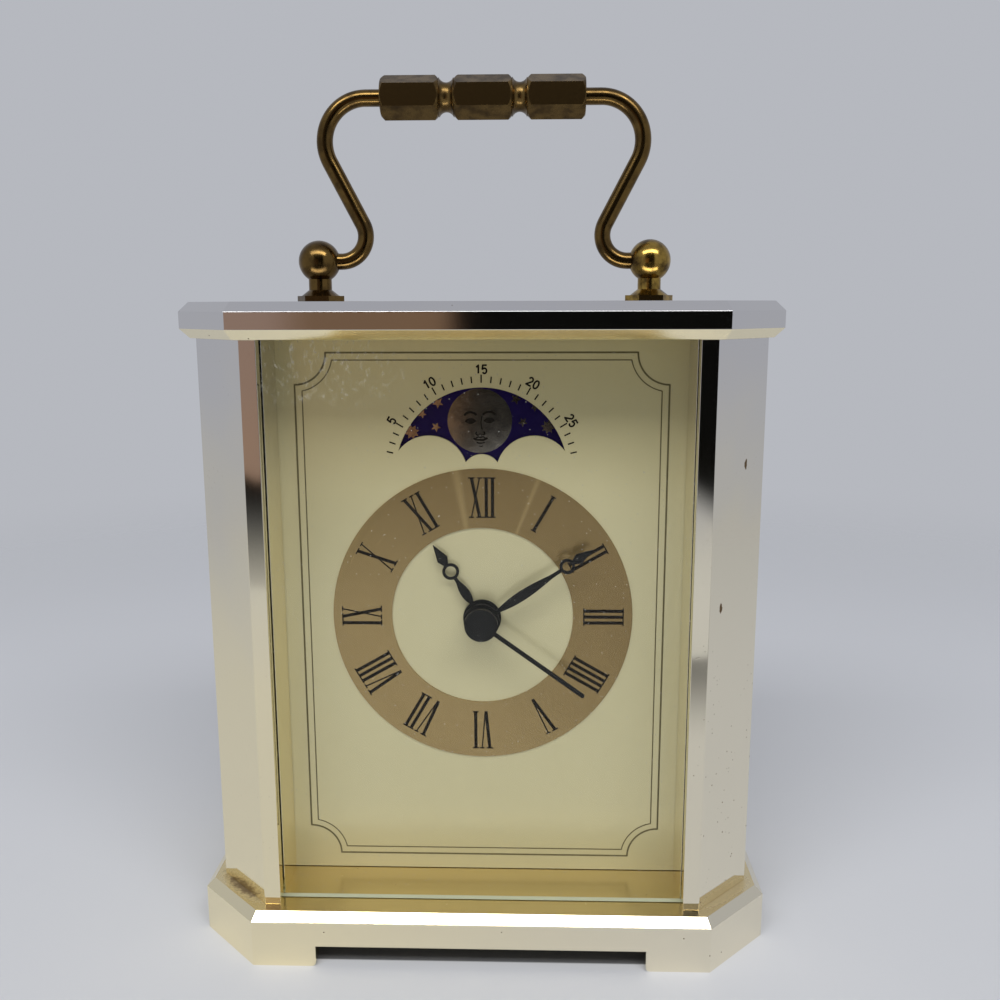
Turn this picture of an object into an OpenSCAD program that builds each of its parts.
// Moon phase desk clock: a bright metal case with cut corners, two side extrusions,
// a glass front, a hinged rear door and a folding handle, round a battery movement
// with hour, minute and second hands and a moon disc.
// Millimetres. X points right, Y to the back and Z up. The origin is the middle of
// the case in plan, on the plane that the feet stand on.

/* [Case] */
// Width of the base over its flat sides
case_w = 116; // [110:1:130]
// Depth of the base, front to back
case_d = 66; // [62:1:80]
// Corner cut of the base along each side, at 45 degrees
corner_cut = 12.7; // [9:0.1:16]
// Height of the body between the base and the top plate
body_h = 112.2; // [110:0.2:130]

/* [Base] */
// Height of the base
base_h = 11; // [9.5:0.5:16]
// Bevel round the upper edge of the base
base_bevel = 1.6; // [0.8:0.1:2.4]
// Thickness of the skirt of the base
base_wall = 3; // [2:0.1:4]
// Thickness of the roof of the base
base_roof = 3; // [2.5:0.1:4]
// Height of the gap between the feet
foot_h = 4.3; // [4.1:0.1:5]
// Straight length of each foot beside its cut corner
foot_l = 12.6; // [8:0.1:16]
// Rounding of the inner lower edge of each foot
foot_round = 0.9; // [0.3:0.1:1.5]

/* [Top plate] */
// Thickness of the top plate
top_h = 6.8; // [5.6:0.1:10]
// How far the top plate stays inside the outline of the base
top_inset = 0.9; // [0:0.1:2]
// Bevel along the lower and upper edges of the top plate
top_bevel = 1.8; // [1:0.1:2.4]
// Depth of the cored pocket under the top plate
top_pocket = 4; // [3:0.1:4.4]

/* [Side extrusions] */
// Distance of the flat sides of the body inside the sides of the base
side_inset = 3.4; // [2.5:0.1:5]
// Distance of the front of the body behind the front of the base
front_inset = 3.9; // [3:0.1:6]
// Width of each side extrusion
side_w = 14.4; // [13:0.1:18]
// Width of the narrow front face of an extrusion, beside its cut facet
side_land = 3.2; // [2.9:0.1:6]
// Wall of the extrusions
side_wall = 1.6; // [1.2:0.1:2.4]
// Thickness of the inner web, which holds the grooves
web_t = 2.2; // [1.9:0.1:2.8]
// Depth of the grooves for the glass and the dial
groove_depth = 1; // [0.6:0.1:1.2]
// Outer radius of the round screw ports inside the extrusions
port_r = 3.2; // [2.8:0.1:3.8]
// Distance of each tie screw from the middle of the case, front to back
tie_y = 17; // [14:0.5:19]

/* [Glass and dial] */
// Thickness of the front glass
glass_t = 1.3; // [1:0.1:2]
// Distance of the glass behind the front of the body
glass_recess = 2.5; // [2:0.1:4]
// Thickness of the dial plate
dial_t = 0.8; // [0.5:0.1:1.2]
// Distance of the dial behind the front of the body
dial_recess = 14.4; // [12:0.1:16]
// Outer radius of the chapter ring
ring_r = 30.4; // [27:0.1:33]
// Inner radius of the chapter ring
ring_hole_r = 18.4; // [15:0.1:21]
// Thickness of the chapter ring
ring_t = 0.25; // [0.2:0.05:0.4]

/* [Moon display] */
// Height of the moon axis above the hand axis
moon_rise = 29.3; // [28.8:0.1:31]
// Radius of the upper edge of the moon window
window_r = 17.1; // [16:0.1:17.6]
// Distance of each moon from the moon axis
moon_offset = 10.4; // [9.8:0.1:10.8]
// Radius of the two side humps that the moons slide behind
hump_r = 7.6; // [7:0.1:8]
// Radius of the small hump on the moon axis
mid_hump_r = 3.9; // [3:0.1:4.4]
// Teeth on the edge of the moon disc, two lunar months
moon_teeth = 59; // [59]
// Module of the teeth of the moon disc
moon_module = 0.65; // [0.64:0.01:0.68]
// Thickness of the moon disc
moon_t = 0.6; // [0.4:0.05:0.7]

/* [Hands] */
// Length of the hour hand from the axis
hour_len = 18; // [14:0.5:22]
// Radius at which the ring of the hour hand is centred
hour_ring_at = 11.5; // [9:0.1:12]
// Radius of the hub of the hour hand
hour_hub_r = 3.85; // [3.4:0.05:4.2]
// Length of the minute hand from the axis
minute_len = 26.6; // [23:0.1:29]
// Radius at which the ring of the minute hand is centred
minute_ring_at = 20.5; // [17:0.1:21]
// Radius of the hub of the minute hand
minute_hub_r = 3.6; // [3.2:0.05:4]
// Length of the second hand from the axis
second_len = 25.4; // [20:0.1:29]
// Radius of the cap of the second hand
second_cap_r = 3.3; // [2.8:0.05:3.6]
// Thickness of the hands
hand_t = 0.35; // [0.25:0.05:0.5]
// Distance of the face of the hour hand in front of the dial
hour_lift = 1.5; // [1.2:0.1:2]
// Distance of the face of the minute hand in front of the dial
minute_lift = 4; // [3.5:0.1:4.6]
// Distance of the face of the second hand's cap in front of the dial
second_lift = 6.7; // [6.2:0.1:8]
// Angle of the hour hand at rest, clockwise from twelve
hour_angle = -33; // [-180:1:180]
// Angle of the minute hand at rest, clockwise from twelve
minute_angle = 56; // [-180:1:180]
// Angle of the second hand at rest, clockwise from twelve
second_angle = 126; // [-180:1:180]

/* [Handle] */
// Distance of each post inside the edge of the pocket under the top plate
post_in = 4.9; // [4.4:0.1:7]
// Radius of the ball on each post
ball_r = 4.25; // [3.8:0.05:5]
// Height of the ball centres above the top plate
ball_lift = 8.1; // [7.5:0.1:10]
// Radius of the neck under each ball
neck_r = 2.35; // [2.1:0.05:3]
// Distance across the flats of the hexagon foot of each post
post_flats = 8.4; // [7:0.1:9]
// Radius of the bent handle rod
rod_r = 1.65; // [1.4:0.05:1.9]
// Rise of the grip above the ball centres
handle_rise = 31.8; // [29:0.1:38]
// Length of straight rod between a ball centre and the lower bend
rod_lead = 4.6; // [4.5:0.1:6]
// Radius of the lower bend of the rod
bend_low_r = 5.1; // [4:0.1:6]
// Radius of the upper bend of the rod
bend_high_r = 8.4; // [7:0.1:9.5]
// Length of straight rod between the grip and the upper bend
grip_lead = 3.2; // [1:0.1:4]
// Radius of the grip over its six corners
grip_r = 4.3; // [3.8:0.05:4.8]
// Length of each of the three hexagon lengths of the grip
grip_seg = 11.45; // [9.5:0.05:12]
// Radius of the turned cove between two hexagon lengths
cove_r = 1.58; // [1.2:0.02:1.8]
// Radius of the grip at the bottom of a cove
cove_neck_r = 2.8; // [2.5:0.05:3.2]

/* [Rear door] */
// Thickness of the rear door
door_t = 1.4; // [1:0.1:1.8]
// Radius of the hinge knuckle along the door's edge
knuckle_r = 1.5; // [1.3:0.1:1.8]
// Radius of the door knob
door_knob_r = 3.6; // [2.8:0.1:4.5]

/* [Movement] */
// Reach of the movement case above the moon axis
mov_over = 6.7; // [5.5:0.1:10]
// Length left for a contact at each end of the battery
contact_room = 2.2; // [1.8:0.1:3]
// Wall of the movement case
mov_wall = 1.2; // [1:0.1:1.4]
// Gap between the dial and the movement case, where the moon disc turns
under_dial = 2.6; // [2.5:0.1:3]
// Radius of the battery
battery_r = 7.2; // [6.9:0.05:7.6]
// Length of the battery without its nub
battery_l = 49.2; // [46:0.1:52]
// Module of the hand-setting wheels
set_module = 0.4; // [0.38:0.01:0.42]
// Play between meshed teeth, measured along the pitch circle
gear_play = 0.1; // [0.08:0.01:0.14]
// Radius of the knob that sets the hands
time_knob_r = 6.5; // [5:0.1:7.5]
// Radius of the knob that sets the moon
moon_knob_r = 4.8; // [4:0.1:5.5]

/* [Fits] */
// Side clearance of glass, dial and door in what holds them
seat_gap = 0.15; // [0.1:0.05:0.25]
// Radial clearance of every turning shaft
run_gap = 0.05; // [0.03:0.01:0.08]

/* [Hidden] */
$fn = 64;

// Colours of the finishes
gold = [0.86, 0.80, 0.62];
old_brass = [0.55, 0.43, 0.20];
champagne = [0.80, 0.78, 0.58];
ring_bronze = [0.63, 0.51, 0.33];
hand_black = [0.06, 0.06, 0.07];
night_blue = [0.10, 0.10, 0.32];
steel = [0.72, 0.73, 0.75];
plain_brass = [0.80, 0.66, 0.34];
case_black = [0.10, 0.10, 0.11];
nylon = [0.90, 0.90, 0.86];

// Small amounts: an overlap of joined solids, how far a cut runs past what it opens,
// the gaps of pressed and screwed joints, and the gap at the end of a shaft
eps = 0.01;
over = 1;
push_gap = 0.02;
screw_gap = 0.1;
thread_gap = 0.05;
end_gap = 0.1;

// Places in the case
body_top = base_h + body_h;
top_z = body_top + top_h;
front_y = -case_d / 2 + front_inset;
back_y = -front_y;
side_x = case_w / 2 - side_inset;
web_x = side_x - side_w;
side_facet = side_w - side_land;
glass_y = front_y + glass_recess;
dial_y = front_y + dial_recess;
dial_back_y = dial_y + dial_t;
dial_z = base_h + body_h / 2;

// Tie screws and their ports
port_in = 0.5;
tie_x = web_x + web_t + port_r - port_in;
tie_r = 1.5;
tie_hole_r = tie_r + screw_gap;
tie_head_r = 2.7;
tie_head_h = 2.2;
tie_bite = 4.4;
tie_tip = 0.4;
slot_w = 0.8;
slot_d = 0.9;

// An octagon: a rectangle of half sizes a and b with its corners cut by c
function cut_rect(a, b, c) = [
    [-a + c, -b], [a - c, -b], [a, -b + c], [a, b - c],
    [a - c, b], [-a + c, b], [-a, b - c], [-a, -b + c]];

// How much a 45 degree corner cut shrinks when the outline moves in by d
function cut_after(c, d) = c - d * (2 - sqrt(2));

// Solid through a stack of octagons, each given as [z, inset]
module octagon_stack(a, b, c, layers) {
    rings = [for (l = layers)
        [for (p = cut_rect(a - l[1], b - l[1], cut_after(c, l[1]))) [p[0], p[1], l[0]]]];
    n = 8;
    last = len(layers) - 1;
    points = [for (r = rings) each r];
    sides = [for (k = [0 : last - 1]) for (i = [0 : n - 1])
        let (j = (i + 1) % n) [k * n + i, (k + 1) * n + i, (k + 1) * n + j, k * n + j]];
    polyhedron(points, concat([[for (i = [0 : n - 1]) i]],
        [[for (i = [n - 1 : -1 : 0]) last * n + i]], sides));
}

// Rectangle with rounded corners, centred
module round_rect(w, h, r) {
    square([w - 2 * r, h], center = true);
    square([w, h - 2 * r], center = true);
    for (x = [-1, 1], y = [-1, 1]) translate([x * (w / 2 - r), y * (h / 2 - r)]) circle(r);
}

// Opening under the skirt: its upper corners are square, its lower edges flare
// round the inner edge of each foot
module foot_gap(w) {
    translate([-w / 2, -over]) square([w, foot_h + over]);
    for (s = [-1, 1]) translate([s * w / 2, 0]) difference() {
        translate([-foot_round, -over]) square([2 * foot_round, over + foot_round]);
        translate([s * foot_round, foot_round]) circle(foot_round);
        translate([s * foot_round * 2, -foot_round]) square(2 * foot_round, center = true);
    }
}

// Base
base_a = case_w / 2;
base_b = case_d / 2;
gap_w_front = case_w - 2 * (corner_cut + foot_l);
gap_w_side = case_d - 2 * (corner_cut + foot_l);

module base() {
    color(gold) difference() {
        octagon_stack(base_a, base_b, corner_cut,
            [[0, 0], [base_h - base_bevel, 0], [base_h, base_bevel]]);
        // hollow under the roof
        translate([0, 0, -over]) linear_extrude(base_h - base_roof + over)
            polygon(cut_rect(base_a - base_wall, base_b - base_wall,
                cut_after(corner_cut, base_wall)));
        // gaps between the feet
        rotate([90, 0, 0]) linear_extrude(case_d + 2 * over, center = true) foot_gap(gap_w_front);
        rotate([90, 0, 90]) linear_extrude(case_w + 2 * over, center = true) foot_gap(gap_w_side);
        // holes for the tie screws and the lower hinge pin
        for (x = [-1, 1], y = [-1, 1])
            translate([x * tie_x, y * tie_y, 0]) cylinder(r = tie_hole_r, h = base_h + over);
        translate([hinge_x, hinge_y, base_h - pin_seat]) cylinder(r = pin_hole_r, h = base_h);
    }
}

// Top plate, with a cored pocket over the movement
top_a = base_a - top_inset;
top_b = base_b - top_inset;
top_cut = cut_after(corner_cut, top_inset);
pocket_side = 1.5;
pocket_ahead = 4;
pocket_behind = 5;
pocket_x = web_x - pocket_side;
pocket_front = dial_back_y + pocket_ahead;
pocket_back = back_y - pocket_behind;
post_x = pocket_x - post_in;

module top_plate() {
    color(gold) difference() {
        octagon_stack(top_a, top_b, top_cut, [[body_top, top_bevel],
            [body_top + top_bevel, 0], [top_z - top_bevel, 0], [top_z, top_bevel]]);
        translate([-pocket_x, pocket_front, body_top - over])
            cube([2 * pocket_x, pocket_back - pocket_front, top_pocket + over]);
        for (x = [-1, 1], y = [-1, 1])
            translate([x * tie_x, y * tie_y, body_top - over])
                cylinder(r = tie_hole_r, h = over + tie_bite + tie_tip);
        for (x = [-1, 1])
            translate([x * post_x, 0, body_top])
                cylinder(r = post_stud_r + thread_gap, h = top_h + over);
        translate([hinge_x, hinge_y, body_top - over])
            cylinder(r = pin_hole_r, h = pin_seat + over);
    }
}

// Profile of the right side extrusion in plan
module side_profile() {
    f = side_facet;
    t = side_wall;
    k = t * (sqrt(2) - 1);
    inner_x = web_x + web_t;
    difference() {
        polygon([[web_x, front_y], [side_x - f, front_y], [side_x, front_y + f],
            [side_x, back_y - f], [side_x - f, back_y], [web_x, back_y]]);
        difference() {
            // the hollow: the outline moved in by the wall, up to the web
            intersection() {
                polygon([[web_x, front_y + t], [side_x - f - k, front_y + t],
                    [side_x - t, front_y + f + k], [side_x - t, back_y - f - k],
                    [side_x - f - k, back_y - t], [web_x, back_y - t]]);
                translate([inner_x, front_y]) square([side_w, back_y - front_y]);
            }
            for (y = [-tie_y, tie_y]) translate([tie_x, y]) circle(port_r);
        }
        for (y = [-tie_y, tie_y]) translate([tie_x, y]) circle(tie_hole_r);
        // grooves for the glass and the dial
        translate([web_x - over, glass_y - seat_gap])
            square([groove_depth + over, glass_t + 2 * seat_gap]);
        translate([web_x - over, dial_y - seat_gap])
            square([groove_depth + over, dial_t + 2 * seat_gap]);
    }
}

module right_side() {
    color(gold) translate([0, 0, base_h]) linear_extrude(body_h) side_profile();
}

module left_side() {
    color(gold) translate([0, 0, base_h]) linear_extrude(body_h) mirror([1, 0]) side_profile();
}

// Four long screws from under the base, through the ports, into the top plate
module tie_screws() {
    seat = base_h - base_roof;
    color(steel) for (x = [-1, 1], y = [-1, 1]) translate([x * tie_x, y * tie_y, 0]) {
        difference() {
            translate([0, 0, seat - tie_head_h]) cylinder(r = tie_head_r, h = tie_head_h);
            translate([-tie_head_r, -slot_w / 2, seat - tie_head_h - over])
                cube([2 * tie_head_r, slot_w, slot_d + over]);
        }
        translate([0, 0, seat - eps]) cylinder(r = tie_r, h = base_roof + body_h + tie_bite);
    }
}

// Glass
glass_w = 2 * (web_x + groove_depth - seat_gap);

module front_glass() {
    color([0.85, 0.92, 0.90, 0.3])
        translate([-glass_w / 2, glass_y, base_h + seat_gap])
            cube([glass_w, glass_t, body_h - 2 * seat_gap]);
}

// Draws its children as seen from the front, with their faces at depth s behind
// the back of the dial and their thickness t running backwards from there
module plate_at(s, t, x = 0, z = 0) {
    translate([x, dial_back_y + s + t, dial_z + z]) rotate([90, 0, 0])
        linear_extrude(t) children();
}

// A round shaft from depth s0 to depth s1
module shaft(s0, s1, r, x = 0, z = 0) {
    translate([x, dial_back_y + s1, dial_z + z]) rotate([90, 0, 0]) cylinder(r = r, h = s1 - s0);
}

// The moon window: a round-headed opening with two side humps and a middle hump
module moon_window() {
    difference() {
        circle(window_r);
        translate([-window_r, -2 * window_r]) square([2 * window_r, 2 * window_r]);
        for (s = [-1, 1]) translate([s * moon_offset, 0]) circle(hump_r);
        circle(mid_hump_r);
        // outside the humps the dial hides the rest of the disc
        for (s = [-1, 1]) translate([s * (moon_offset + window_r / 2), 0])
            square([window_r, 2 * mid_hump_r], center = true);
    }
}

hub_hole_r = 3.1;
ring_fn = 120;

module dial_plate() {
    h = body_h - 2 * seat_gap;
    color(champagne) difference() {
        plate_at(-dial_t, dial_t) square([glass_w, h], center = true);
        plate_at(-dial_t - over, dial_t + 2 * over, 0, moon_rise) moon_window();
        shaft(-dial_t - over, over, hub_hole_r);
    }
}

module chapter_ring() {
    color(ring_bronze) difference() {
        shaft(-dial_t - ring_t, -dial_t, ring_r, $fn = ring_fn);
        shaft(-dial_t - over, 0, ring_hole_r, $fn = ring_fn);
    }
}

// Movement case: as wide and deep as its battery asks, with the bay under the train
battery_play = 0.3;
battery_seat = 0.2;
bay_wall_t = 0.9;
train_reach = 10.9;
mov_w = battery_l + 2 * (mov_wall + contact_room);
mov_depth = mov_wall + 2 * (battery_r + battery_seat);
mov_down = train_reach + bay_wall_t + 2 * (battery_r + battery_play) + mov_wall;
mov_up = moon_rise + mov_over;

// Studs on the back of the dial that carry the movement, and their push-on clips
stud_out = 3.4;
stud_in = 9;
stud_x = mov_w / 2 + stud_out;
stud_low = -mov_down + stud_in;
stud_high = mov_up - stud_in;
stud_r = 1.3;
stud_foot = 0.9;
stud_tip = 1.2;
ear_t = mov_wall;
ear_r = 3;
ear_trim = 0.8;
ear_lap = 0.6;
clip_t = 0.5;
clip_r = 3;

module at_studs() {
    for (x = [-1, 1], z = [stud_low, stud_high]) translate([x * stud_x, 0, z]) children();
}

module dial_studs() {
    color(plain_brass) at_studs() {
        shaft(0, under_dial, stud_r + stud_foot);
        shaft(under_dial - eps, under_dial + ear_t + clip_t + stud_tip, stud_r);
    }
}

module stud_clips() {
    s = under_dial + ear_t;
    color(steel) at_studs() difference() {
        shaft(s, s + clip_t, clip_r);
        shaft(s - over, s + clip_t + over, stud_r + push_gap);
    }
}

// Half-width of a leaf at the share u of its length
function leaf_half(u, w) = w / 2 * sin(180 * pow(u, 0.8));

// Outline of a leaf from radius a to radius b, widest w, never thinner than w0
module leaf(a, b, w, w0) {
    steps = 12;
    right = [for (i = [0 : steps]) let (u = i / steps)
        [max(leaf_half(u, w), w0 / 2), a + (b - a) * u]];
    left = [for (i = [steps : -1 : 0]) [-right[i][0], right[i][1]]];
    polygon(concat(right, left));
}

// Shapes of the hands: radii of the ring and its eye, widths of the leaf and the spear
hour_ring_r = 1.7;
hour_eye_r = 1.12;
hour_leaf_w = 1.9;
hour_spear_w = 2.3;
minute_ring_r = 1.55;
minute_eye_r = 0.95;
minute_leaf_w = 2;
minute_spear_w = 2.2;
second_w = 0.85;
// Least width of a leaf, half width of a spear's root, the share of the spear before
// its widest place, and how far the parts of a hand run into each other
neck_w = 0.7;
spear_root = 0.4;
spear_share = 0.3;
hub_lap = 0.6;
ring_lap = 0.2;

// A hand that points up: a leaf, an open ring and a spear
module ringed_hand(hub_r, ring_at, ring_out, ring_in, len, leaf_w, spear_w) {
    difference() {
        union() {
            circle(hub_r);
            leaf(hub_r - hub_lap, ring_at - ring_out + ring_lap, leaf_w, neck_w);
            translate([0, ring_at]) circle(ring_out);
            root = ring_at + ring_out - ring_lap;
            wide = root + (len - root) * spear_share;
            polygon([[-spear_root, root], [-spear_w / 2, wide], [0, len], [spear_w / 2, wide],
                [spear_root, root]]);
        }
        translate([0, ring_at]) circle(ring_in);
    }
}

// Tubes of the hands, from the middle out
second_pipe_r = 0.8;
minute_bore_r = second_pipe_r + run_gap;
minute_pipe_r = 1.6;
hour_bore_r = minute_pipe_r + run_gap;
hour_pipe_r = 2.35;
grip_gap = 0.01;
collar_t = 0.8;
hour_collar = 0.6;
thin_collar = 0.7;

// Depth of the face of each hand, counted from the back of the dial
hour_s = -dial_t - hour_lift;
minute_s = -dial_t - minute_lift;
cap_s = -dial_t - second_lift;
cap_t = 1;
cap_face_t = 0.4;

module hour_hand() {
    color(hand_black) difference() {
        union() {
            plate_at(hour_s, hand_t) rotate(-hour_angle)
                ringed_hand(hour_hub_r, hour_ring_at, hour_ring_r, hour_eye_r, hour_len,
                    hour_leaf_w, hour_spear_w);
            shaft(hour_s, hour_s + hand_t + collar_t, hour_pipe_r + hour_collar);
        }
        shaft(hour_s - over, hour_s + hand_t + collar_t + over, hour_pipe_r + grip_gap);
    }
}

module minute_hand() {
    color(hand_black) difference() {
        union() {
            plate_at(minute_s, hand_t) rotate(-minute_angle)
                ringed_hand(minute_hub_r, minute_ring_at, minute_ring_r, minute_eye_r, minute_len,
                    minute_leaf_w, minute_spear_w);
            shaft(minute_s, minute_s + hand_t + collar_t, minute_pipe_r + thin_collar);
        }
        shaft(minute_s - over, minute_s + hand_t + collar_t + over, minute_pipe_r + grip_gap);
    }
}

module second_hand() {
    w = second_w;
    blade_s = cap_s + cap_t - hand_t;
    color(hand_black) difference() {
        union() {
            shaft(cap_s, cap_s + cap_t, second_cap_r);
            plate_at(blade_s, hand_t) rotate(-second_angle) {
                translate([-w / 2, 0]) square([w, second_len - w / 2]);
                translate([0, second_len - w / 2]) circle(w / 2);
            }
            shaft(cap_s, cap_s + cap_t + collar_t, second_pipe_r + thin_collar);
        }
        shaft(cap_s + cap_face_t, cap_s + cap_t + collar_t + over, second_pipe_r + grip_gap);
    }
}

// Teeth. Pinions with fewer teeth than small_n have radial roots, wheels have flared ones.
small_n = 16;
tooth_add = 0.8;
tooth_ded = 1.15;
flank = 20;

function polar(r, a) = [r * cos(a), r * sin(a)];

function tooth(n, m, a) =
    let (rp = n * m / 2, ra = rp + tooth_add * m, rf = rp - tooth_ded * m,
        hp = 90 / n - gear_play / 4 / rp * 180 / PI,
        ht = hp - tooth_add * m * tan(flank) / ra * 180 / PI,
        hr = n < small_n ? hp : hp + tooth_ded * m * tan(flank) / 2 / rf * 180 / PI)
    [polar(rf, a - hr), polar(rp, a - hp), polar(ra, a - ht),
        polar(ra, a + ht), polar(rp, a + hp), polar(rf, a + hr)];

// Outline of a gear with n teeth of module m, one tooth centred at angle a
module gear(n, m, a = 0) {
    polygon([for (i = [0 : n - 1]) each tooth(n, m, a + 360 * i / n)]);
}

// Angle of one tooth of the second gear, so that it meshes with the first, which has
// n1 teeth, one at angle a1, and sees the second gear in direction d
function meshed(d, n1, a1, n2) = d + 180 + (d - a1) * n1 / n2 + 180 / n2;

// Distance between the axes of two meshed gears
function spread(n1, n2, m) = (n1 + n2) * m / 2;

// Motion work: cannon pinion to minute wheel, minute pinion to hour wheel
cannon_n = 12;
minute_n = 36;
minute_pinion_n = 10;
hour_n = 40;
minute_gap = spread(cannon_n, minute_n, set_module);
hour_module = 2 * minute_gap / (minute_pinion_n + hour_n);
minute_dir = 180;
minute_pos = polar(minute_gap, minute_dir);

// Setting knob, in mesh with the minute wheel
knob_n = 12;
time_pos = minute_pos + polar(spread(minute_n, knob_n, set_module), minute_dir);

// Day wheel: one turn in 24 hours, with a finger that moves the moon disc
hour_pinion_n = 20;
day_n = 40;
moon_pitch_r = moon_teeth * moon_module / 2;
finger_r = 7.2;
finger_bite = 1;
day_gap = spread(hour_pinion_n, day_n, set_module);
day_reach = moon_pitch_r + tooth_add * moon_module + finger_r - finger_bite;
day_lean = acos((day_gap * day_gap + moon_rise * moon_rise - day_reach * day_reach)
    / (2 * day_gap * moon_rise));
day_dir = 90 - day_lean;
day_pos = polar(day_gap, day_dir);

// Moon setting pinion, in mesh with the disc
moon_pinion_n = 8;
moon_pinion_dir = 217;
moon_knob_pos = [0, moon_rise] + polar(spread(moon_teeth, moon_pinion_n, moon_module),
    moon_pinion_dir);

// Running train: rotor, step wheel, second wheel, third wheel, centre wheel
rotor_n = 8;
step_n = 40;
step_pinion_n = 10;
second_n = 60;
second_pinion_n = 8;
third_n = 60;
third_pinion_n = 8;
centre_n = 64;
fine_module = 0.25;
third_module = 0.3;
third_gap = spread(second_pinion_n, third_n, third_module);
centre_module = 2 * third_gap / (third_pinion_n + centre_n);
third_dir = 25;
third_pos = polar(third_gap, third_dir);
step_dir = 120;
step_pos = polar(spread(second_n, step_pinion_n, fine_module), step_dir);
rotor_dir = 90;
rotor_pos = step_pos + polar(spread(rotor_n, step_n, fine_module), rotor_dir);

// Depths of the layers behind the dial. Each gap lies in front of the piece it is named after.
before_day = 0.3;
before_hour = 0.4;
before_minute = 0.6;
before_centre = 0.8;
before_bridge = 0.6;
before_third = 0.4;
before_second = 0.6;
before_step = 0.6;
before_magnet = 0.5;
before_stator = 0.3;
front_case_depth = 6;
disc_s = 0.5;
day_s = disc_s + moon_t + before_day;
day_t = 0.7;
case_s = under_dial;
floor_s = case_s + mov_wall;
hour_wheel_s = floor_s + before_hour;
hour_wheel_t = 0.8;
motion_s = hour_wheel_s + hour_wheel_t + before_minute;
motion_t = 0.8;
centre_s = motion_s + motion_t + before_centre;
centre_t = 0.6;
bridge_s = centre_s + centre_t + before_bridge;
bridge_t = 0.8;
third_s = bridge_s + bridge_t + before_third;
third_t = 0.5;
second_s = third_s + third_t + before_second;
second_t = 0.5;
step_s = second_s + second_t + before_step;
step_t = 0.5;
magnet_s = step_s + step_t + before_magnet;
magnet_t = 1.6;
stator_s = magnet_s + before_stator;
stator_t = 0.8;
case_end_s = case_s + mov_depth;
lid_s = case_end_s - mov_wall;
split_s = case_s + front_case_depth;
pinion_over = 0.2;
pivot_r = 0.4;
pivot_len = 0.8;
pivot_seat = 0.6;
pipe_over = 0.2;
post_clear = 0.3;

// The moon disc with its hub, turning on a post of the movement case
moon_post_r = 1.5;
moon_hub_wall = 1.2;
moon_lean = 2;

module moon_disc() {
    color(night_blue) difference() {
        union() {
            plate_at(disc_s, moon_t, 0, moon_rise) gear(moon_teeth, moon_module, 90 + moon_lean);
            shaft(disc_s, case_s - end_gap, moon_post_r + moon_hub_wall, 0, moon_rise);
        }
        shaft(disc_s - over, case_s + over, moon_post_r + run_gap, 0, moon_rise);
    }
}

// Leaf spring that holds the disc at one tooth: its nose lies in a tooth gap
jumper_dir = 0;
jumper_w = 0.5;
jumper_len = 13;
jumper_post_r = 1.2;

jumper_nose = 0.75;
jumper_bite = 0.7;
jumper_eye = 1;
jumper_lift = 1;
// Direction of the tooth gap nearest to jumper_dir
tooth_pitch = 360 / moon_teeth;
jumper_gap = round((jumper_dir - 90 - moon_lean) / tooth_pitch - 0.5) + 0.5;
jumper_a = 90 + moon_lean + jumper_gap * tooth_pitch;
moon_tip_r = moon_pitch_r + tooth_add * moon_module;
jumper_r = moon_tip_r + jumper_lift;
jumper_pos = [0, moon_rise] + polar(jumper_r + jumper_w, jumper_a) + polar(jumper_len, jumper_a - 90);

module moon_jumper() {
    color(steel) difference() {
        plate_at(disc_s, moon_t, 0, moon_rise) rotate(jumper_a) {
            polygon([[moon_tip_r - jumper_bite, 0], [jumper_r, -jumper_nose],
                [jumper_r + jumper_w, -jumper_nose], [jumper_r + jumper_w, jumper_nose],
                [jumper_r, jumper_nose]]);
            translate([jumper_r, -jumper_len]) square([jumper_w, jumper_len]);
            translate([jumper_r + jumper_w, -jumper_len]) circle(jumper_post_r + jumper_eye);
        }
        shaft(disc_s - over, disc_s + moon_t + over, jumper_post_r + grip_gap,
            jumper_pos[0], jumper_pos[1]);
    }
}

// Day wheel with its finger
day_post_r = 1;
finger_rest = 270;
finger_hub_r = 2;
finger_half = 0.9;
finger_tip = 0.6;

module day_wheel() {
    a = meshed(day_dir, hour_pinion_n, 0, day_n);
    x = day_pos[0];
    z = day_pos[1];
    color(nylon) difference() {
        union() {
            plate_at(day_s, day_t, x, z) gear(day_n, set_module, a);
            plate_at(disc_s, day_s - disc_s + eps, x, z) rotate(finger_rest) {
                circle(finger_hub_r);
                polygon([[0, -finger_half], [finger_r - finger_tip, -finger_half / 2],
                    [finger_r, 0], [finger_r - finger_tip, finger_half / 2], [0, finger_half]]);
            }
        }
        shaft(disc_s - over, case_s, day_post_r + run_gap, x, z);
    }
}

// Hour wheel and its tube, with a pinion under the dial for the day wheel
module hour_wheel() {
    a = meshed(0, minute_pinion_n, minute_pinion_a, hour_n);
    color(nylon) difference() {
        union() {
            plate_at(hour_wheel_s, hour_wheel_t) gear(hour_n, hour_module, a);
            plate_at(day_s - pinion_over, case_s - day_s - run_gap) gear(hour_pinion_n, set_module, 0);
            shaft(hour_s - pipe_over, hour_wheel_s + hour_wheel_t, hour_pipe_r);
        }
        shaft(hour_s - over, hour_wheel_s + hour_wheel_t + over, hour_bore_r);
    }
}

// Minute wheel and pinion on a post of the movement case
minute_post_r = 0.9;
minute_wheel_a = meshed(minute_dir, cannon_n, 0, minute_n);
minute_pinion_a = 0;

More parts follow.
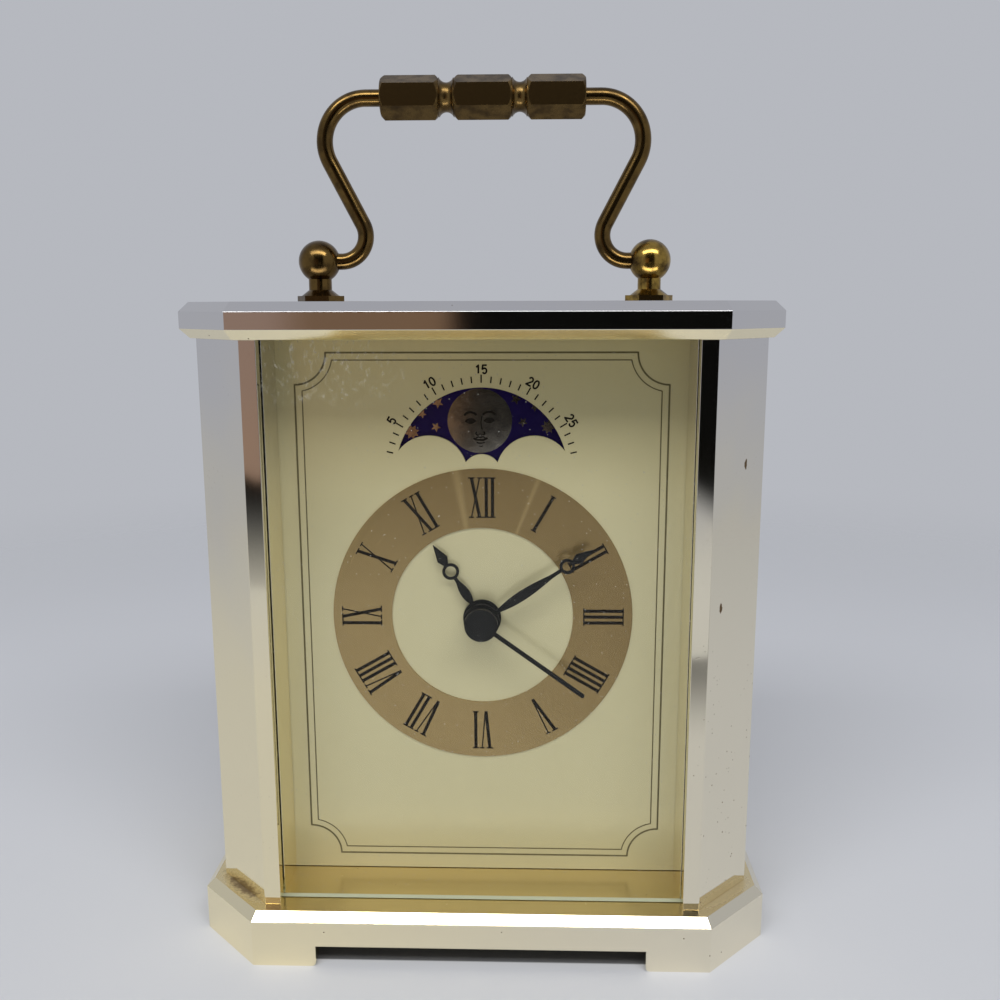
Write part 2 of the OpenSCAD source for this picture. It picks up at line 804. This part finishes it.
module minute_wheel() {
    x = minute_pos[0];
    z = minute_pos[1];
    color(nylon) difference() {
        union() {
            plate_at(motion_s, motion_t, x, z) gear(minute_n, set_module, minute_wheel_a);
            plate_at(hour_wheel_s - pinion_over, motion_s - hour_wheel_s + pinion_over + eps, x, z)
                gear(minute_pinion_n, hour_module, minute_pinion_a);
        }
        shaft(floor_s, motion_s + motion_t + over, minute_post_r + run_gap, x, z);
    }
}

// Minute arbor: the tube of the minute hand with its cannon pinion
module minute_arbor() {
    end_s = bridge_s - end_gap;
    color(plain_brass) difference() {
        union() {
            plate_at(motion_s - pinion_over, motion_t + 2 * pinion_over) gear(cannon_n, set_module, 0);
            shaft(minute_s - pipe_over, end_s, minute_pipe_r);
        }
        shaft(minute_s - over, end_s + over, minute_bore_r);
    }
}

// Centre wheel, which grips the minute arbor and slips on it when the hands are set
module centre_wheel() {
    a = meshed(third_dir + 180, third_pinion_n, third_pinion_a, centre_n);
    color(plain_brass) difference() {
        plate_at(centre_s, centre_t) gear(centre_n, centre_module, a);
        shaft(centre_s - over, centre_s + centre_t + over, minute_pipe_r + run_gap);
    }
}

third_pinion_a = 0;

module third_wheel() {
    a = meshed(third_dir, second_pinion_n, 0, third_n);
    x = third_pos[0];
    z = third_pos[1];
    color(nylon) {
        plate_at(third_s, third_t, x, z) gear(third_n, third_module, a);
        plate_at(centre_s - pinion_over, centre_t + 2 * pinion_over, x, z)
            gear(third_pinion_n, centre_module, third_pinion_a);
        shaft(floor_s - pivot_len, third_s + third_t + pivot_len, pivot_r, x, z);
        shaft(centre_s, third_s + third_t, 2 * pivot_r, x, z);
    }
}

module second_wheel() {
    color(nylon) {
        plate_at(second_s, second_t) gear(second_n, fine_module, 0);
        plate_at(third_s - pinion_over, third_t + 2 * pinion_over)
            gear(second_pinion_n, third_module, 0);
        shaft(cap_s + cap_face_t + run_gap, second_s + second_t, second_pipe_r);
        shaft(second_s, second_s + second_t + pivot_len, pivot_r);
    }
}

step_pinion_a = meshed(step_dir, second_n, 0, step_pinion_n);
step_wheel_a = 0;

module step_wheel() {
    x = step_pos[0];
    z = step_pos[1];
    color(nylon) {
        plate_at(step_s, step_t, x, z) gear(step_n, fine_module, step_wheel_a);
        plate_at(second_s - pinion_over, step_s - second_s + pinion_over + eps, x, z)
            gear(step_pinion_n, fine_module, step_pinion_a);
        shaft(bridge_s + bridge_t - pivot_seat, step_s + step_t + pivot_len, pivot_r, x, z);
    }
}

magnet_r = 2.2;

module rotor() {
    a = meshed(rotor_dir, step_n, step_wheel_a, rotor_n);
    x = rotor_pos[0];
    z = rotor_pos[1];
    color(steel) {
        shaft(magnet_s, magnet_s + magnet_t, magnet_r, x, z);
        plate_at(step_s - pinion_over, magnet_s - step_s + pinion_over + eps, x, z)
            gear(rotor_n, fine_module, a);
        shaft(bridge_s + bridge_t - pivot_seat, magnet_s + magnet_t + pivot_len, pivot_r, x, z);
    }
}

// Stator with two legs, a core across them and a coil on the core
leg_w = 4;
core_rise = 9;
core_short = 8;
core_long = 23;
rotor_gap = 0.4;
pole_w = 1.8;
core_z = rotor_pos[1] + core_rise;
core_left = rotor_pos[0] - core_short;
core_right = rotor_pos[0] + core_long;
rotor_room_r = magnet_r + rotor_gap;

module stator() {
    x = rotor_pos[0];
    z = rotor_pos[1];
    color(steel) difference() {
        plate_at(stator_s, stator_t) union() {
            translate([x, z]) circle(rotor_room_r + pole_w);
            translate([core_left, z - leg_w / 2]) square([core_right - core_left, leg_w]);
            for (e = [core_left, core_right - leg_w])
                translate([e, z - leg_w / 2]) square([leg_w, core_z - z + leg_w]);
        }
        shaft(stator_s - over, stator_s + stator_t + over, rotor_room_r, x, z);
    }
}

module coil_core() {
    color(steel) plate_at(stator_s + stator_t, stator_t)
        translate([core_left, core_z - leg_w / 4]) square([core_right - core_left, leg_w / 2]);
}

coil_r = 2;
coil_play = 0.5;
flange_r = 2.4;
flange_t = 0.6;
coil_len = core_right - core_left - 2 * (leg_w + coil_play);

module coil() {
    core_s = stator_s + stator_t * 1.5;
    color([0.72, 0.38, 0.16]) difference() {
        translate([core_left + leg_w + coil_play, dial_back_y + core_s, dial_z + core_z])
            rotate([0, 90, 0]) {
                cylinder(r = coil_r, h = coil_len);
                for (e = [0, coil_len - flange_t])
                    translate([0, 0, e]) cylinder(r = flange_r, h = flange_t);
            }
        plate_at(stator_s + stator_t - push_gap, stator_t + 2 * push_gap)
            translate([core_left, core_z - leg_w / 4 - push_gap])
                square([core_right - core_left, leg_w / 2 + 2 * push_gap]);
    }
}

// Screws that hold the two halves of the movement case together
mov_screw_r = 0.9;
mov_screw_bite = 3;
mov_hole_l = 3.4;
mov_head_r = 1.7;
mov_head_h = 1;
mov_head_gap = 0.2;
mov_slot_w = 0.5;
mov_slot_d = 0.5;
mov_boss_r = 2;
// Distance of each screw from the inner faces of the case, less than the boss's radius
mov_screw_in = 1.6;
mov_screw_x = mov_w / 2 - mov_wall - mov_screw_in;
mov_screw_z = [mov_boss_r - train_reach - end_gap, mov_up - mov_wall - mov_screw_in];

module at_mov_screws() {
    for (x = [-1, 1], z = mov_screw_z) translate([x * mov_screw_x, 0, z]) children();
}

// Circuit board with its chip and crystal, on two posts of the back case
board_out = 3.4;
board_play = 0.5;
board_lift = 2.5;
board_under = 1;
board_stand = 1.6;
board_x = third_pos[0] + board_out;
board_w = mov_screw_x - mov_boss_r - board_play - board_x;
board_low = board_lift - train_reach;
board_h = rotor_pos[1] - leg_w / 2 - board_under - board_low;
board_t = 0.8;
board_s = lid_s - board_stand - board_t;
board_post_r = 1.3;
board_post_in = 2;
board_posts = [[board_x + board_post_in, board_low + board_post_in],
    [board_x + board_w - board_post_in, board_low + board_h - board_post_in]];
chip_w = 4.5;
chip_t = 1;
chip_at = [2.5, 5];
crystal_r = 1;
crystal_l = 6;
crystal_in = 4;

module circuit_board() {
    color([0.10, 0.36, 0.20]) plate_at(board_s, board_t)
        translate([board_x, board_low]) square([board_w, board_h]);
}

module driver_chip() {
    color(case_black) plate_at(board_s - chip_t, chip_t)
        translate([board_x + chip_at[0], board_low + chip_at[1]]) square(chip_w);
}

module quartz_crystal() {
    color(steel) translate([board_x + (board_w - crystal_l) / 2, dial_back_y + board_s - crystal_r,
        dial_z + board_low + board_h - crystal_in])
            rotate([0, 90, 0]) cylinder(r = crystal_r, h = crystal_l);
}

mov_corner_r = 2.5;

// Outline of the movement case in front view
module mov_outline(inset = 0) {
    translate([0, (mov_up - mov_down) / 2])
        round_rect(mov_w - 2 * inset, mov_up + mov_down - 2 * inset, mov_corner_r - inset);
}

// Plate between the motion work and the running train, on four pillars of the front case
bridge_w = 40;
bridge_lift = 1.3;
bridge_over = 5;
bridge_low = bridge_lift - train_reach;
bridge_high = rotor_pos[1] + bridge_over;
bridge_mid = (bridge_low + bridge_high) / 2;
pillar_r = 1.4;
pillar_in = 2;
pillar_x = bridge_w / 2 - pillar_in;
pillars = [[-pillar_x, bridge_low + pillar_in], [pillar_x, bridge_low + pillar_in],
    [core_left, bridge_high - pillar_in], [pillar_x, bridge_high - pillar_in]];
arbor_room = 0.3;
low_boss_r = 1.2;
low_boss_h = 0.9;

module train_bridge() {
    color(nylon) difference() {
        plate_at(bridge_s, bridge_t, 0, bridge_mid)
            round_rect(bridge_w, bridge_high - bridge_low, pillar_in);
        through = bridge_s + bridge_t + over;
        shaft(bridge_s - over, through, second_pipe_r + run_gap);
        shaft(bridge_s - over, through, 2 * pivot_r + run_gap, third_pos[0], third_pos[1]);
        for (p = [step_pos, rotor_pos])
            shaft(bridge_s + bridge_t - pivot_seat - end_gap, through, pivot_r + run_gap, p[0], p[1]);
        shaft(bridge_s - over, through, time_arbor_r + arbor_room, time_pos[0], time_pos[1]);
        shaft(bridge_s - over, through, moon_arbor_r + arbor_room, moon_knob_pos[0], moon_knob_pos[1]);
    }
}

// Knob arbors, and how far the front ends of the posts stay behind the dial
time_arbor_r = 1.2;
moon_arbor_r = 1;
post_tip_s = 0.2;

module movement_front() {
    color(case_black) difference() {
        union() {
            difference() {
                plate_at(case_s, split_s - case_s) mov_outline();
                plate_at(floor_s, split_s) mov_outline(mov_wall);
            }
            at_studs() shaft(case_s, case_s + ear_t, ear_r);
            for (x = [-1, 1], z = [stud_low, stud_high])
                plate_at(case_s, ear_t, x * (mov_w / 2 + stud_x) / 2, z)
                    square([stud_x - mov_w / 2 + ear_lap, 2 * ear_r - ear_trim], center = true);
            // posts for the moon disc, the day wheel, the minute wheel and the jumper
            shaft(post_tip_s, case_s + eps, moon_post_r, 0, moon_rise);
            shaft(post_tip_s, case_s + eps, day_post_r, day_pos[0], day_pos[1]);
            shaft(floor_s - eps, motion_s + motion_t + post_clear, minute_post_r,
                minute_pos[0], minute_pos[1]);
            shaft(disc_s + end_gap, case_s + eps, jumper_post_r, jumper_pos[0], jumper_pos[1]);
            at_mov_screws() shaft(floor_s - eps, split_s, mov_boss_r);
            for (p = pillars) shaft(floor_s - eps, bridge_s, pillar_r, p[0], p[1]);
            shaft(floor_s - eps, floor_s + low_boss_h, low_boss_r, third_pos[0], third_pos[1]);
        }
        shaft(case_s - over, floor_s + over, hour_pipe_r + run_gap);
        shaft(floor_s - pivot_len, floor_s + low_boss_h + over, pivot_r + run_gap,
            third_pos[0], third_pos[1]);
        shaft(case_s - over, floor_s + over, moon_arbor_r + run_gap,
            moon_knob_pos[0], moon_knob_pos[1]);
        at_mov_screws() shaft(split_s - mov_hole_l, split_s + over, mov_screw_r + thread_gap);
        at_studs() shaft(case_s - over, floor_s + over, stud_r + screw_gap);
    }
}

// Battery
battery_z = -train_reach - bay_wall_t - battery_play - battery_r;
battery_s = floor_s + battery_seat + battery_r;
bay_rim = 1.1;
bay_w = mov_w - 2 * (mov_wall + bay_rim);
bay_wall_z = battery_z + battery_r + battery_play;
// Stand-off of the battery's minus end, length of its tip and its gap to the contacts
battery_end = 0.5;
battery_tip = 1.2;
battery_nub_r = 2.7;
contact_gap = 0.05;

module battery() {
    color([0.25, 0.30, 0.36]) translate([-battery_l / 2 - battery_end, dial_back_y + battery_s,
        dial_z + battery_z]) rotate([0, 90, 0]) {
            cylinder(r = battery_r, h = battery_l);
            cylinder(r = battery_nub_r, h = battery_l + battery_tip);
        }
}

contact_x = mov_w / 2 - mov_wall;
contact_w = 8;
contact_half = 5;
contact_t = 0.4;
dimple_half = 2;
dimple_tip = 0.8;

// A contact strip against the end wall of the bay, with a dimple that meets the battery
module contact(reach) {
    color(steel) plate_at(battery_s - contact_w / 2, contact_w, -contact_x, battery_z)
        polygon([[0, -contact_half], [contact_t, -contact_half], [contact_t, -dimple_half],
            [reach, -dimple_tip], [reach, dimple_tip], [contact_t, dimple_half],
            [contact_t, contact_half], [0, contact_half]]);
}

module contact_plus() {
    mirror([1, 0, 0]) contact(contact_x - battery_l / 2 - battery_tip + battery_end - contact_gap);
}

module contact_minus() {
    contact(contact_x - battery_l / 2 - battery_end - contact_gap);
}

pivot_boss_r = 1.3;

// Boss on the back case with a blind hole for a rear pivot whose wheel ends at depth s
module pivot_boss(s, x, z) {
    difference() {
        shaft(s + post_clear, lid_s + eps, pivot_boss_r, x, z);
        shaft(s, s + pivot_len + post_clear, pivot_r + run_gap, x, z);
    }
}

module movement_back() {
    color(case_black) {
        difference() {
            union() {
                difference() {
                    plate_at(split_s, case_end_s - split_s) mov_outline();
                    plate_at(split_s - over, lid_s - split_s + over) mov_outline(mov_wall);
                }
                // wall over the battery bay
                plate_at(split_s, lid_s - split_s + eps)
                    translate([-mov_w / 2 + eps, bay_wall_z]) square([mov_w - 2 * eps, bay_wall_t]);
                at_mov_screws() shaft(split_s, lid_s + eps, mov_boss_r);
                for (p = board_posts) shaft(board_s + board_t, lid_s + eps, board_post_r, p[0], p[1]);
            }
            // window that the battery goes in through
            plate_at(lid_s - over, mov_wall + 2 * over) translate([0, battery_z])
                square([bay_w, 2 * (battery_r + battery_seat)], center = true);
            shaft(lid_s - over, case_end_s + over, time_arbor_r + run_gap, time_pos[0], time_pos[1]);
            shaft(lid_s - over, case_end_s + over, moon_arbor_r + run_gap,
                moon_knob_pos[0], moon_knob_pos[1]);
            at_mov_screws() shaft(split_s - over, case_end_s + over, mov_screw_r + screw_gap);
            at_mov_screws() shaft(case_end_s - mov_head_h, case_end_s + over, mov_head_r + mov_head_gap);
        }
        pivot_boss(second_s + second_t, 0, 0);
        pivot_boss(third_s + third_t, third_pos[0], third_pos[1]);
        pivot_boss(step_s + step_t, step_pos[0], step_pos[1]);
        pivot_boss(magnet_s + magnet_t, rotor_pos[0], rotor_pos[1]);
    }
}

module movement_screws() {
    color(steel) at_mov_screws() difference() {
        union() {
            shaft(split_s - mov_screw_bite, case_end_s - mov_head_h + eps, mov_screw_r);
            shaft(case_end_s - mov_head_h, case_end_s - end_gap, mov_head_r);
        }
        plate_at(case_end_s - end_gap - mov_slot_d, mov_slot_d + over)
            square([2 * mov_head_r, mov_slot_w], center = true);
    }
}

flute_r = 0.8;
flute_out = 0.35;
time_flutes = 24;
moon_flutes = 18;

// A fluted knob on an arbor
module fluted(r, flutes) {
    difference() {
        circle(r);
        for (i = [0 : flutes - 1]) rotate(360 * i / flutes) translate([r + flute_out, 0]) circle(flute_r);
    }
}

knob_gap = 0.3;
knob_s = case_end_s + knob_gap;
time_knob_t = 5;
moon_knob_t = 4;

module time_knob() {
    x = time_pos[0];
    z = time_pos[1];
    a = meshed(minute_dir, minute_n, minute_wheel_a, knob_n);
    color(case_black) {
        plate_at(motion_s - pinion_over, motion_t + 2 * pinion_over, x, z) gear(knob_n, set_module, a);
        shaft(motion_s, knob_s + eps, time_arbor_r, x, z);
        plate_at(knob_s, time_knob_t, x, z) fluted(time_knob_r, time_flutes);
    }
}

module moon_knob() {
    x = moon_knob_pos[0];
    z = moon_knob_pos[1];
    a = meshed(moon_pinion_dir, moon_teeth, 90 + moon_lean, moon_pinion_n);
    color(case_black) {
        plate_at(disc_s - end_gap, moon_t + 2 * end_gap, x, z) gear(moon_pinion_n, moon_module, a);
        shaft(disc_s, knob_s + eps, moon_arbor_r, x, z);
        plate_at(knob_s, moon_knob_t, x, z) fluted(moon_knob_r, moon_flutes);
    }
}

// Handle posts
post_stud_r = 1.9;
ball_z = top_z + ball_lift;
rod_gap = 0.09;
hole_r = rod_r + rod_gap;
rod_past = 1.6;
rod_end_gap = 0.3;
foot_plate_h = 1.2;
foot_edge = 0.3;
neck_flare = 1.2;
nut_room = 2.6;
nut_t = 2.4;
nut_flats = 7;

module post(side) {
    seat = top_z - (top_h - top_pocket);
    color(old_brass) translate([side * post_x, 0, 0]) difference() {
        union() {
            translate([0, 0, ball_z]) sphere(ball_r);
            translate([0, 0, top_z]) cylinder(r = post_flats / 2 / cos(30), h = foot_plate_h, $fn = 6);
            rotate_extrude() polygon([[0, seat - nut_room], [post_stud_r, seat - nut_room],
                [post_stud_r, top_z + eps], [post_flats / 2 - foot_edge, top_z + eps],
                [post_flats / 2 - foot_edge, top_z + foot_plate_h],
                [neck_r, top_z + foot_plate_h + neck_flare],
                [neck_r, ball_z - ball_r / 2], [0, ball_z - ball_r / 2]]);
        }
        translate([0, 0, ball_z]) rotate([0, -side * 90, 0])
            translate([0, 0, -rod_past - rod_end_gap]) cylinder(r = hole_r, h = ball_r * 3);
    }
}

module left_post() {
    post(-1);
}

module right_post() {
    post(1);
}

module post_nuts() {
    seat = top_z - (top_h - top_pocket);
    color(steel) for (x = [-1, 1]) translate([x * post_x, 0, seat - nut_t]) difference() {
        cylinder(r = nut_flats / 2 / cos(30), h = nut_t, $fn = 6);
        translate([0, 0, -over]) cylinder(r = post_stud_r + push_gap, h = nut_t + 2 * over);
    }
}

// Grip and bent rods, in the plane of the handle
grip_len = 3 * grip_seg + 4 * cove_r;
grip_z = ball_z + handle_rise;
socket_l = 7;
low_c = [post_x - rod_lead, ball_z + bend_low_r];
high_c = [grip_len / 2 + grip_lead, grip_z - bend_high_r];
bend_run = norm(high_c - low_c);
rod_heading = atan2(high_c[1] - low_c[1], high_c[0] - low_c[0])
    - asin((bend_low_r + bend_high_r) / bend_run);
low_end = low_c + polar(bend_low_r, rod_heading + 90);
high_start = high_c + polar(bend_high_r, rod_heading - 90);

// The bends are a hair thinner than the straights, which run a little way into them
bend_thin = 0.01;
bend_lap = 0.06;

// A bend in the plane of the handle, round centre c, from angle a over turn degrees
module bend(c, r, a, turn) {
    translate([c[0], 0, c[1]]) rotate([90, 0, 0]) rotate(a)
        rotate_extrude(angle = turn) translate([r, 0]) circle(rod_r - bend_thin, $fn = 32);
}

// A straight length of rod between two points in the plane of the handle
module straight(p, q) {
    translate([p[0], 0, p[1]]) rotate([0, 90 - atan2(q[1] - p[1], q[0] - p[0]), 0])
        translate([0, 0, -bend_lap]) cylinder(r = rod_r, h = norm(q - p) + 2 * bend_lap, $fn = 32);
}

module rod() {
    straight([low_c[0], ball_z], [post_x + rod_past, ball_z]);
    bend(low_c, bend_low_r, rod_heading + 90, 270 - rod_heading - 90);
    straight(low_end, high_start);
    bend(high_c, bend_high_r, rod_heading - 90, 180 - rod_heading);
    straight([grip_len / 2 - socket_l + rod_end_gap, grip_z], [high_c[0], grip_z]);
}

module right_rod() {
    color(old_brass) rod();
}

module left_rod() {
    color(old_brass) mirror([1, 0, 0]) rod();
}

// The grip is a hexagon bar turned down in two coves and bored at both ends
module handle_grip() {
    end_cut = 0.7;
    big = grip_r + over;
    color(old_brass) difference() {
        translate([0, 0, grip_z]) rotate([0, 90, 0]) intersection() {
            translate([0, 0, -grip_len / 2]) cylinder(r = grip_r, h = grip_len, $fn = 6);
            rotate_extrude() difference() {
                translate([0, -grip_len / 2]) square([big, grip_len]);
                for (s = [-1, 1]) {
                    translate([cove_neck_r + cove_r, s * (grip_seg / 2 + cove_r)]) circle(cove_r);
                    translate([cove_neck_r + cove_r, s * (grip_seg / 2 + cove_r) - cove_r])
                        square([big, 2 * cove_r]);
                    for (e = [grip_seg / 2, grip_seg / 2 + 2 * cove_r, grip_len / 2])
                        translate([grip_r, s * e]) rotate(45)
                            square(end_cut * sqrt(2), center = true);
                }
            }
        }
        for (s = [-1, 1]) translate([s * grip_len / 2, 0, grip_z]) rotate([0, -s * 90, 0])
            translate([0, 0, -over]) cylinder(r = rod_r + push_gap, h = socket_l + over, $fn = 32);
    }
}

// Rear door, hung on two pins in the base and the top plate
door_gap = 0.4;
pin_r = 0.9;
pin_hole_r = pin_r + push_gap;
pin_seat = 2;
pin_reach = 4;
pin_end_gap = 0.2;
door_in = 0.1;
hinge_x = web_x - knuckle_r - door_gap;
hinge_y = back_y - knuckle_r - door_in;
door_low = base_h + door_gap;
door_high = body_top - door_gap;

module rear_door() {
    color(gold) difference() {
        union() {
            translate([-web_x + door_gap, hinge_y - door_t / 2, door_low])
                cube([hinge_x + web_x - door_gap, door_t, door_high - door_low]);
            translate([hinge_x, hinge_y, door_low]) cylinder(r = knuckle_r, h = door_high - door_low);
        }
        for (z = [door_low - over, door_high - pin_reach])
            translate([hinge_x, hinge_y, z]) cylinder(r = pin_r + run_gap, h = pin_reach + over);
        translate([door_knob_x, hinge_y, dial_z]) rotate([90, 0, 0])
            cylinder(r = knob_pin_r + push_gap, h = door_t + 2 * over, center = true);
    }
}

door_knob_in = 8;
door_knob_x = -web_x + door_knob_in;
knob_pin_r = 1.2;
// Upset end of the knob's pin inside the door, the knob's stem as radius and distance
// from the door, where its head begins, its edges, its reach, and how far it stays
// inside the outline of the base
knob_rivet = 0.6;
knob_stem = [[2.2, 0], [2.2, 0.4], [1.6, 0.9], [1.6, 1.5]];
knob_head_at = 2;
knob_edge = 0.6;
knob_dome = 0.8;
knob_reach = 4.4;
knob_inside = 0.4;

module door_knob() {
    face = hinge_y + door_t / 2;
    out = min(case_d / 2 - knob_inside - face, knob_reach);
    color(old_brass) translate([door_knob_x, face, dial_z]) rotate([-90, 0, 0])
        rotate_extrude() polygon([[0, -door_t - knob_rivet],
            [knob_pin_r + knob_rivet, -door_t - knob_rivet], [knob_pin_r + knob_rivet, -door_t],
            [knob_pin_r, -door_t], [knob_pin_r, 0], each knob_stem,
            [door_knob_r - knob_edge, knob_head_at], [door_knob_r, knob_head_at + knob_edge],
            [door_knob_r, out - knob_edge], [door_knob_r - knob_dome, out], [0, out]]);
}

module hinge_pins() {
    color(steel) for (z = [base_h - pin_seat, door_high - pin_reach + pin_end_gap])
        translate([hinge_x, hinge_y, z])
            cylinder(r = pin_r, h = pin_seat + door_gap + pin_reach - pin_end_gap);
}

catch_gap = 0.3;
catch_w = 4;
catch_h = 12;

// Magnet that holds the free edge of the door, glued to the left web
module door_magnet() {
    face = hinge_y - door_t / 2;
    color([0.30, 0.30, 0.32])
        translate([-web_x, face - catch_gap - catch_w, dial_z - catch_h / 2])
            cube([catch_w, catch_w, catch_h]);
}

base();
top_plate();
left_side();
right_side();
tie_screws();
front_glass();
dial_plate();
chapter_ring();
dial_studs();
stud_clips();
hour_hand();
minute_hand();
second_hand();
moon_disc();
moon_jumper();
day_wheel();
hour_wheel();
minute_arbor();
minute_wheel();
centre_wheel();
third_wheel();
second_wheel();
step_wheel();
rotor();
stator();
coil_core();
coil();
circuit_board();
driver_chip();
quartz_crystal();
train_bridge();
movement_front();
movement_back();
movement_screws();
battery();
contact_plus();
contact_minus();
time_knob();
moon_knob();
left_post();
right_post();
post_nuts();
left_rod();
right_rod();
handle_grip();
rear_door();
door_knob();
hinge_pins();
door_magnet();
